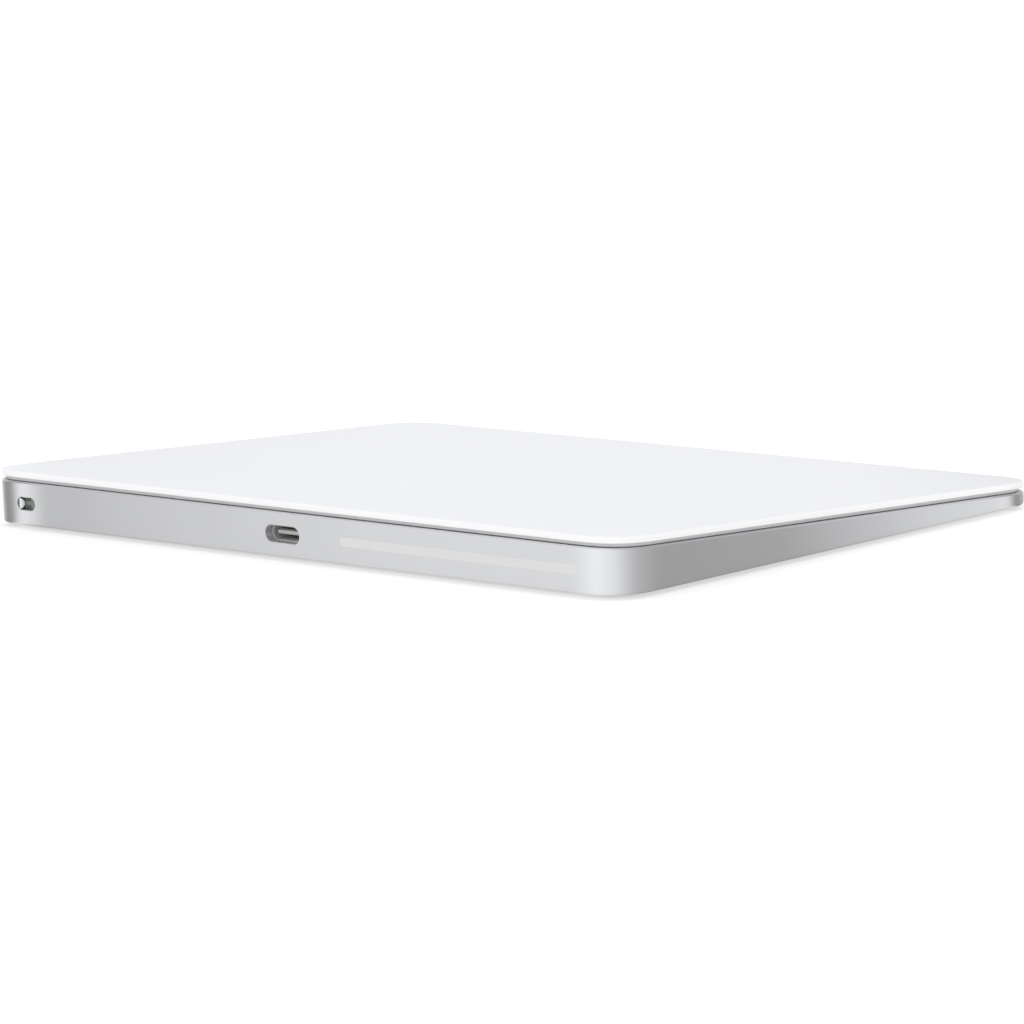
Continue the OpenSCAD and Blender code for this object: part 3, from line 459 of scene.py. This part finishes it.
def wall_y(x):
    """The rear wall's face at each x."""
    order = np.argsort(case_path[rear_side, 0])
    return np.interp(x, case_path[rear_side, 0][order], case_path[rear_side, 1][order])


def moulded_plastic(name, light, dark, roughness, grain_scale=6000):
    """Moulded plastic: a fine spark-eroded grain and faint cloudiness in the colour."""
    made, wire, place = finish(name, IOR=1.5)
    grain = place.noise(grain_scale, 2)
    cloud = place.noise(220, 3)
    wire(Base_Color=(0.6 * cloud + 0.4 * grain).mix((*dark, 1), (*light, 1)),
         Roughness=roughness - 0.05 + 0.1 * grain,
         Normal=grain.bump(0.006 * mm, 0.4))
    return made


window_plastic = moulded_plastic("window_plastic", (0.78, 0.78, 0.79), (0.74, 0.74, 0.75), 0.5)
flange_y = inner_y + flange_t
back = Slot(window_hole.x, window_pocket.width - 2 * flange_gap, window_pocket.height - 2 * flange_gap,
            pocket_end, pocket_power)
face = window_hole.ring(lambda x: wall_y(x) - window_sunk)
window_faces = [lid(face), loft(face, window_hole.ring(flange_y), back.ring(flange_y), back.ring(inner_y)),
                lid(back.ring(inner_y))]
piece("window_strip", window_faces, "base", window_plastic, "antenna_window")


def dress(material, *names):
    """Gives CAD nodes a material."""
    for name in names:
        mesh = frame["nodes"][name].data
        mesh.materials.clear()
        mesh.materials.append(material)


def plated(name, light, dark, roughness, metal=1.0):
    """Stamped and plated metal: rolling marks along X and small dull patches."""
    made, wire, place = finish(name, Metallic=metal)
    stretched = place.node("Mapping", {}, {"Vector": place, "Scale": (0.08, 1, 1)})
    roll = stretched.noise(7000, 2)
    patch = place.noise(500, 2)
    wire(Base_Color=patch.mix((*dark, 1), (*light, 1)), Roughness=roughness - 0.08 + 0.16 * roll,
         Normal=roll.bump(0.002 * mm, 0.3))
    return made


gilt = plated("gilt_metal", (0.82, 0.62, 0.28), (0.7, 0.5, 0.2), 0.25)
dress(gilt, "antenna")

# Main board: a glass-fibre circuit board with green lacquer over copper tracks, screwed to three bosses
# of the tray. It carries moulded chips, a folded shield can and sockets for the flat leads.


def lacquered_board(name, lacquer, track, pitch):
    """Circuit board: lacquer with raised tracks in two directions, broken up by noise, and pads."""
    made, wire, place = finish(name, IOR=1.5, Coat_Weight=0.4, Coat_Roughness=0.12)
    lane = place.noise(1 / (12 * pitch), 0).step(0.48, 0.52)
    across = place.along((1, 0, 0)).bands(pitch, 0.4)
    down = place.along((0, 1, 0)).bands(pitch, 0.4)
    tracks = lane * across + (1 - lane) * down
    cell = place.node("TexVoronoi", {}, {"Vector": place, "Scale": 1 / (3 * pitch)}, output="Distance")
    pads = 1 - cell.step(0.16, 0.2)
    copper = tracks.math("MAXIMUM", tracks, pads)
    wire(Base_Color=copper.mix((*lacquer, 1), (*track, 1)), Roughness=0.5 - 0.15 * copper,
         Normal=copper.bump(0.02 * mm, 0.4))
    return made


board_lacquer = lacquered_board("board_lacquer", (0.012, 0.075, 0.04), (0.03, 0.14, 0.07), 0.6 * mm)
dress(board_lacquer, "main_board")
sheet_steel = plated("sheet_steel", (0.62, 0.63, 0.64), (0.52, 0.53, 0.54), 0.32)
dress(sheet_steel, "board_screws", "radio_shield")
chip_plastic = moulded_plastic("chip_plastic", (0.02, 0.02, 0.022), (0.012, 0.012, 0.014), 0.55)
dress(chip_plastic, "board_chips")
socket_plastic = moulded_plastic("socket_plastic", (0.76, 0.71, 0.58), (0.68, 0.63, 0.5), 0.5)
dress(socket_plastic, "flex_sockets")

# Charging port: a drawn steel shell with a rolled mouth, soldered to the board by four tabs. A moulded
# tongue stands in it, with a row of gilded contacts on each side.
shell_low, shell_high = (np.array(corner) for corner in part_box("usb_shell"))
shell_t = 0.3 * mm
shell_form = Slot(0, 8.94 * mm, 3.16 * mm, 1.58 * mm)
lip = shell_t / 2
shell_rings = [shell_form.grown(-shell_t).ring(shell_low[1])]
shell_rings += [shell_form.grown(-lip - lip * math.cos(a)).ring(shell_high[1] - lip + lip * math.sin(a))
                for a in np.linspace(0, np.pi, 9)]
shell_rings += [shell_form.ring(shell_low[1]), shell_rings[0]]
shell_faces = [loft(*shell_rings)]
tab_size = np.array([1.6, 1.2]) * mm
for tab_x in (shell_low[0], shell_high[0] - tab_size[0]):
    for tab_y in (board_high[1] - tab_size[1], shell_low[1] + tab_size[1] / 2):
        start = np.array([tab_x, tab_y])
        tab = [block_ring(start, start + tab_size, z) for z in (board_high[2], board_high[2] + shell_t)]
        shell_faces += [lid(tab[0]), loft(*tab), lid(tab[1])]
shell_steel = plated("shell_steel", (0.6, 0.61, 0.6), (0.52, 0.53, 0.52), 0.6, 0.4)
piece("port_shell", shell_faces, "base", shell_steel, "usb_shell")
tongue_low, tongue_high = (np.array(corner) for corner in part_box("usb_tongue"))
tongue_form = Slot(0, 6.69 * mm, 0.7 * mm, 0.2 * mm, 3)
nose = 0.14 * mm
block_l = 1.5 * mm
block_gap = 0.01 * mm
block_y = tongue_low[1] + block_l
block_form = shell_form.grown(-shell_t - block_gap)
nose_rings = [tongue_form.grown(nose * (math.sin(a) - 1)).ring(tongue_high[1] - nose * (1 - math.cos(a)))
              for a in np.linspace(0, np.pi / 2, 5)]
tongue_rings = nose_rings + [tongue_form.ring(block_y), block_form.ring(block_y),
                             block_form.ring(tongue_low[1])]
tongue_plastic = moulded_plastic("tongue_plastic", (0.66, 0.665, 0.675), (0.6, 0.605, 0.615), 0.4)
piece("port_tongue", [lid(tongue_rings[0]), loft(*tongue_rings), lid(tongue_rings[-1])], "base",
      tongue_plastic, "usb_tongue")
dress(gilt, "usb_contacts")

# Power slide: an aluminium plate that runs in a pocket behind the wall, with a barrel-shaped knob that
# stands in the slot and a green film beside it that shows when the power is on, with painted shade above
# and below it beside the knob. It takes along the lever of a small switch on the board.
dress(chip_plastic, "switch_body")
dress(socket_plastic, "switch_lever")
knob_x = 70.2 * mm
knob_w = 1.6 * mm
knob_h = 2.15 * mm
knob_steps = 25
barrel_r = 0.833 * mm
slide_t = 0.6 * mm
slide_y = slide_low[1] + slide_t
slide_form = Slot((slide_low[0] + slide_high[0]) / 2, slide_high[0] - slide_low[0],
                  slide_high[2] - slide_low[2], 0.5 * mm, 3)


def knob_ring(share, depth=None):
    """Outline of the knob, two arcs of diameter knob_h that leave the width knob_w between them, drawn in
    to a share of its size. It lies flat at a depth or on the barrel sqrt(barrel_r ** 2 - x ** 2), with x
    from the knob's middle."""
    apart = (knob_h - knob_w) / 2
    tip = math.acos(2 * apart / knob_h)
    half_turn = np.linspace(-tip, tip, knob_steps + 1)[:-1] + tip / knob_steps
    side = knob_h / 2 * np.column_stack([np.cos(half_turn), np.sin(half_turn)]) - (apart, 0)
    x, z = share * np.concatenate([side, -side]).T
    barrel = slide_high[1] - barrel_r + np.sqrt(barrel_r ** 2 - x ** 2)
    return np.column_stack([knob_x + x, np.full(len(x), depth) if depth else barrel, port_z + z])


knob_rings = [knob_ring(share) for share in np.linspace(0, 1, 9)] + [knob_ring(1, slide_y)]
slide_rings = [slide_form.grown(-edge).ring(slide_y), slide_form.ring(slide_y - edge),
               slide_form.ring(slide_low[1])]
knob_metal = blasted_metal("knob_aluminium", (0.74, 0.745, 0.755), (0.66, 0.665, 0.675), 0.3)
slide_faces = [loft(*knob_rings), lid(slide_rings[0]), loft(*slide_rings), lid(slide_rings[-1])]
piece("power_slide", slide_faces, "power_slider", knob_metal, "power_knob")
# Painted shade: the film is coloured dark above and below its middle band on the knob's side, standing in for
# the shade of the slot's edges and the knob.
shade_from_x = 68.1 * mm
lit_half_height = 0.33 * mm
marker_film, film_wire, place = finish("marker_film", IOR=1.5)
painted_shade = (1 - place.within((0, 0, 1), port_z, lit_half_height)) * (1 - place.within((1, 0, 0), 0, shade_from_x))
gloss = place.noise(6000, 2)
film_wire(Base_Color=painted_shade.mix((0.22, 0.265, 0.21, 1), (0.09, 0.1, 0.085, 1)),
          Roughness=0.45 + 0.1 * gloss, Normal=gloss.bump(0.004 * mm, 0.3))
dress(marker_film, "power_marker")

# Batteries: two flat lithium cells in black foil pouches, each on double-sided tape, with a small
# protection board on its rear ledge and a flat lead to the main board.
foil, foil_wire, place = finish("cell_foil", Metallic=0.6)
crease = place.noise(900, 4)
foil_wire(Base_Color=crease.mix((0.03, 0.032, 0.036, 1), (0.06, 0.063, 0.07, 1)),
          Roughness=0.32 + 0.2 * crease, Normal=crease.bump(0.05 * mm, 0.4))
dress(foil, "battery_cells")
tape_film = moulded_plastic("tape_film", (0.84, 0.8, 0.7), (0.76, 0.72, 0.62), 0.6, 3000)
dress(tape_film, "battery_tapes")
guard_lacquer = lacquered_board("guard_lacquer", (0.02, 0.13, 0.06), (0.05, 0.22, 0.11), 0.4 * mm)
dress(guard_lacquer, "battery_boards")
flex_film, flex_wire, place = finish("flex_film", IOR=1.6, Coat_Weight=0.5, Coat_Roughness=0.1)
tracks = place.along((1, 0, 0)).bands(0.5 * mm, 0.55)
weave = place.noise(4000, 2)
flex_wire(Base_Color=tracks.mix((0.36, 0.16, 0.03, 1), (0.52, 0.25, 0.06, 1)), Roughness=0.3 + 0.15 * weave,
          Normal=tracks.bump(0.01 * mm, 0.4))
dress(flex_film, "battery_leads")

# Haptic drive: a folded steel bracket, screwed to the tray's floor, holds two E-shaped cores of stacked
# laminations. Windings of lacquered copper wire on their middle legs pull the plate from side to side.
dress(sheet_steel, "haptic_bracket", "haptic_screws")
core_steel, core_wire, place = finish("core_steel", Metallic=1.0)
laminations = place.along((0, 0, 1)).bands(0.2 * mm, 0.8)
rust = place.noise(1500, 3)
core_wire(Base_Color=rust.mix((0.12, 0.125, 0.13, 1), (0.2, 0.205, 0.215, 1)),
          Roughness=0.4 + 0.2 * rust, Normal=laminations.bump(0.02 * mm, 0.6))
dress(core_steel, "haptic_cores")
winding, winding_wire, place = finish("copper_winding", Metallic=0.9, Coat_Weight=0.6, Coat_Roughness=0.15)
wire_r = 0.1 * mm
coil_x = place.along((1, 0, 0))
turns = coil_x.math("PINGPONG", coil_x, wire_r) * (1 / wire_r)
tone = place.noise(1200, 2)
winding_wire(Base_Color=tone.mix((0.42, 0.14, 0.05, 1), (0.56, 0.21, 0.08, 1)),
             Roughness=0.28 + 0.1 * tone, Normal=turns.bump(0.06 * mm, 0.8))
dress(winding, "haptic_coils")
dress(flex_film, "haptic_lead")

# Springs: four waisted leaves of spring steel, each screwed to a boss at one end. A strain gauge on the
# waist weighs the press, and a gel pad on the free end carries the plate.
spring_steel = plated("spring_steel", (0.46, 0.47, 0.49), (0.38, 0.39, 0.41), 0.26)
dress(spring_steel, "leaf_springs")
dress(sheet_steel, "leaf_screws")
gauge_film, gauge_wire, place = finish("gauge_film", IOR=1.6)
grid = place.along((1, 0, 0)).bands(0.25 * mm, 0.5)
dust = place.noise(5000, 2)
gauge_wire(Base_Color=grid.mix((0.5, 0.3, 0.06, 1), (0.3, 0.2, 0.1, 1)), Roughness=0.25 + 0.15 * dust,
           Normal=grid.bump(0.008 * mm, 0.4))
dress(gauge_film, "strain_gauges")
gel, gel_wire, place = finish("gel", IOR=1.4, Subsurface_Weight=0.4, Subsurface_Scale=0.5 * mm)
swirl = place.noise(700, 3)
gel_wire(Base_Color=swirl.mix((0.26, 0.4, 0.5, 1), (0.36, 0.5, 0.6, 1)), Roughness=0.15 + 0.2 * swirl,
         Normal=swirl.bump(0.03 * mm, 0.3))
dress(gel, "gel_pads")

# Touch plate: the drive's armature is staked into a steel carrier, and the sensor board with its
# electrodes is bonded on top. A flat lead runs from it to the main board.
dress(core_steel, "armature_bar")
dress(sheet_steel, "carrier_plate")
electrodes = lacquered_board("electrode_board", (0.02, 0.022, 0.026), (0.1, 0.08, 0.05), 2.5 * mm)
dress(electrodes, "sensor_board")
dress(flex_film, "sensor_flex")

# Glass: one sheet cut to the case's outline, ground round at its edges, painted white underneath and
# etched to a matt face that a finger glides on. The polished edge stays brighter than the face. A pale
# glue sheet bonds it to the sensor board and ends in a thick bead with a steep face near the edge.
plate_along = np.array([0, plate_up[2], -plate_up[1]])
glass_top = reach("glass", plate_up)
glass_t = glass_top + reach("glass", -plate_up)
glass_middle = (reach("glass", plate_along) - reach("glass", -plate_along)) / 2
glass_depth = reach("glass", plate_along) + reach("glass", -plate_along)
glass_path, glass_out = plan_outline((case_size[0], glass_depth))
glass_round = 0.35 * mm
under_round = 0.3 * mm


def glass_ring(inset, drop):
    """The glass's outline moved in by inset, on the plane that lies drop below its face."""
    x, y = (glass_path - inset * glass_out).T
    flat = np.outer(glass_middle + y, plate_along) + (glass_top - drop) * plate_up
    return flat + np.outer(x, (1, 0, 0))


glass_rings = [glass_ring(under_round * (1 - np.sin(a)), glass_t - under_round * (1 - np.cos(a)))
               for a in turn]
glass_rings += [glass_ring(glass_round * (1 - np.cos(a)), glass_round * (1 - np.sin(a))) for a in turn]
white_glass, glass_wire, place = finish("etched_white_glass", IOR=1.5)
depth = glass_top - place.along(plate_up)
ground = depth.step(0.01 * mm, 0.09 * mm)
etch = place.noise(14000, 2)
haze = place.noise(35, 2)
face_white = haze.mix((0.86, 0.868, 0.9, 1), (0.88, 0.888, 0.92, 1))
glass_wire(Base_Color=ground.mix(face_white, (0.985, 0.988, 0.995, 1)),
           Roughness=0.42 - 0.2 * ground + 0.06 * etch, Normal=etch.bump(0.0015 * mm, 0.2))
piece("glass_plate", [lid(glass_rings[0]), loft(*glass_rings), lid(glass_rings[-1])], "touch_plate",
      white_glass, "glass")
bead_inset = 0.75 * mm
bead_slope = 0.1 * mm
bead_t = 0.59 * mm
glue_t = 0.1 * mm
board_inset = 2.55 * mm
bead_rings = [glass_ring(bead_inset, glass_t), glass_ring(bead_inset + bead_slope, glass_t + bead_t),
              glass_ring(board_inset, glass_t + bead_t), glass_ring(board_inset, glass_t + glue_t)]
pale_glue = moulded_plastic("pale_glue", (0.68, 0.685, 0.7), (0.64, 0.645, 0.66), 0.5)
piece("glue_bead", [lid(bead_rings[0]), loft(*bead_rings), lid(bead_rings[-1])], "touch_plate",
      pale_glue, "glass_glue")

# Underside: a moulded cover taped into the tray's recess, with four rubber feet let into it. Each foot
# is dished a little, so that it grips the desk by its rim.
cover_low, cover_high = (np.array(corner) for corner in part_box("bottom_cover"))
cover_inset = tray_high[0] - cover_high[0]
cover_rings = [case_ring(cover_inset + edge, cover_low[2]), case_ring(cover_inset, cover_low[2] + edge),
               case_ring(cover_inset, cover_high[2])]
cover_plastic = moulded_plastic("cover_plastic", (0.72, 0.725, 0.74), (0.64, 0.645, 0.66), 0.5, 3500)
piece("bottom_plate", [lid(cover_rings[0]), loft(*cover_rings), lid(cover_rings[-1])], "base",
      cover_plastic, "bottom_cover")
dress(tape_film, "cover_tape")
feet_low, feet_high = (np.array(corner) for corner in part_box("feet"))
foot_r = 4.5 * mm
foot_round = 0.2 * mm
dish_r = 0.6 * foot_r
dish_t = 0.03 * mm
foot_faces = []
for foot_x in (feet_low[0] + foot_r, feet_high[0] - foot_r):
    for foot_y in (feet_low[1] + foot_r, feet_high[1] - foot_r):
        middle = (foot_x, foot_y)
        rings = [disc_ring(middle, dish_r, feet_low[2] + dish_t)]
        rings += [disc_ring(middle, foot_r - foot_round * (1 - np.sin(a)),
                            feet_low[2] + foot_round * (1 - np.cos(a))) for a in turn]
        rings += [disc_ring(middle, foot_r, feet_high[2])]
        foot_faces += [lid(rings[0]), loft(*rings), lid(rings[-1])]
foot_rubber = moulded_plastic("foot_rubber", (0.72, 0.72, 0.73), (0.62, 0.62, 0.63), 0.7, 2500)
piece("foot_pads", foot_faces, "base", foot_rubber, "feet")

# Studio: a white floor that runs to the horizon under an even white sky, a ring of glowing grey and white
# papers round the case that only shiny surfaces mirror, and the camera of the picture. Each paper tone is
# (millimetres along the ring, brightness), and painted shade darkens the papers' fold under the case.
floor_size = 8.0
floor_white, floor_wire, place = finish("floor_white", Roughness=1.0, Specular_IOR_Level=0.0,
                                        Emission_Strength=1.0)
seen = sum((place.node("LightPath", output=kind + " Ray") for kind in ("Is Glossy", "Is Transmission")),
           place.node("LightPath", output="Is Camera Ray"))
floor_wire(Base_Color=seen.mix((0.96, 0.96, 0.96, 1), (0.57, 0.57, 0.57, 1)),
           Emission_Color=seen.mix((0, 0, 0, 1), (0.54, 0.54, 0.54, 1)))
floor_mesh = bpy.data.meshes.new("floor")
floor_corner = np.array([[-1, -1, 0], [1, -1, 0], [1, 1, 0], [-1, 1, 0]]) * floor_size
floor_mesh.from_pydata(floor_corner, [], [(0, 1, 2, 3)])
floor_mesh.materials.append(floor_white)
floor = bpy.data.objects.new("floor", floor_mesh)
bpy.context.scene.collection.objects.link(floor)
ring_gap = 3 * mm
ring_low = 0.1 * mm
ring_top = 40 * mm
ring_step = 1 * mm
# Painted shade: the rows under the case and at the papers' foot are dimmed, standing in for the floor's shade
# next to the case.
fold_shade_shares = (0.65, 0.95, 1)
ring_tones = ((0, 1), (110, 0.9), (124, 1.25), (127, 0.9), (129, 0.4), (133, 0.45), (136, 1.4), (139, 1.15),
              (143, 0.8), (168, 0.93), (228, 1.09), (276, 1.13), (283, 1.38), (289, 1.2), (296, 0.73),
              (304, 0.55), (336, 0.59), (378, 1.03), (396, 1.12), (399, 1.35), (402, 0.3), (407, 0.75),
              (412, 0.7), (450, 1))
wall_path, foot_path = (np.vstack([path, path[:1]]) for path in
                        (case_path + ring_gap * case_out, case_path - ring_gap * case_out))
ring_length = np.concatenate([[0], np.cumsum(np.hypot(*np.diff(wall_path, axis=0).T))])
paper_at = np.arange(0, ring_length[-1], ring_step)
wall_xy, foot_xy = (np.column_stack([np.interp(paper_at, ring_length, path[:, i]) for i in (0, 1)])
                    for path in (wall_path, foot_path))
paper_tone = np.interp(paper_at, *np.array([(at * mm, tone) for at, tone in ring_tones]).T)
count = len(paper_at)
paper_ring = np.concatenate([np.column_stack([xy, np.full(count, z)]) for xy, z in
                             ((foot_xy, ring_low), (wall_xy, ring_low), (wall_xy, ring_top))])
here = np.arange(2 * count)
there = here // count * count + (here + 1) % count
paper_mesh = bpy.data.meshes.new("paper_ring")
paper_mesh.from_pydata(paper_ring, [], np.column_stack([here, there, there + count, here + count]))
tone_layer = paper_mesh.attributes.new("tone", "FLOAT", "POINT")
tone_layer.data.foreach_set("value", np.outer(fold_shade_shares, paper_tone).ravel())
paper, paper_wire, place = finish("paper", Base_Color=(0, 0, 0, 1), Specular_IOR_Level=0.0,
                                  Emission_Strength=1.0)
paper.cycles.emission_sampling = "NONE"
paper_wire(Emission_Color=place.node("Attribute", {"attribute_name": "tone"}, output="Color"))
paper_mesh.materials.append(paper)
ring = bpy.data.objects.new("paper_ring", paper_mesh)
bpy.context.scene.collection.objects.link(ring)
ring.visible_camera = ring.visible_diffuse = ring.visible_shadow = ring.visible_transmission = False
world = bpy.data.worlds.new("studio")
world.use_nodes = True
world.node_tree.nodes["Background"].inputs["Color"].default_value = (1, 1, 1, 1)
world.node_tree.nodes["Background"].inputs["Strength"].default_value = 1.0
scene = bpy.context.scene
scene.world = world
scene.view_settings.view_transform = "Standard"

view_azimuth, view_elevation, view_roll = (math.radians(a) for a in (223.624, 9.108, -2.295))
view_distance = 853.042 * mm
view_target = np.array([-19.499, 18.849, 5.0]) * mm
focal_pixels = 4756.538
picture_pixels = 1024
view_back = np.array([math.sin(view_azimuth) * math.cos(view_elevation),
                      -math.cos(view_azimuth) * math.cos(view_elevation), math.sin(view_elevation)])
level = np.cross(-view_back, (0, 0, 1))
level /= np.linalg.norm(level)
upright = np.cross(level, -view_back)
view_right = math.cos(view_roll) * level + math.sin(view_roll) * upright
view_up = -math.sin(view_roll) * level + math.cos(view_roll) * upright
lens = bpy.data.cameras.new("camera")
lens.sensor_width = 36
lens.lens = focal_pixels / picture_pixels * lens.sensor_width
lens.clip_start, lens.clip_end = 0.01, 50
camera = bpy.data.objects.new("camera", lens)
scene.collection.objects.link(camera)
camera.matrix_world = Matrix(np.column_stack([
    np.vstack([np.column_stack([view_right, view_up, view_back]), [0, 0, 0]]),
    np.append(view_target + view_distance * view_back, 1)]).tolist())
scene.camera = camera
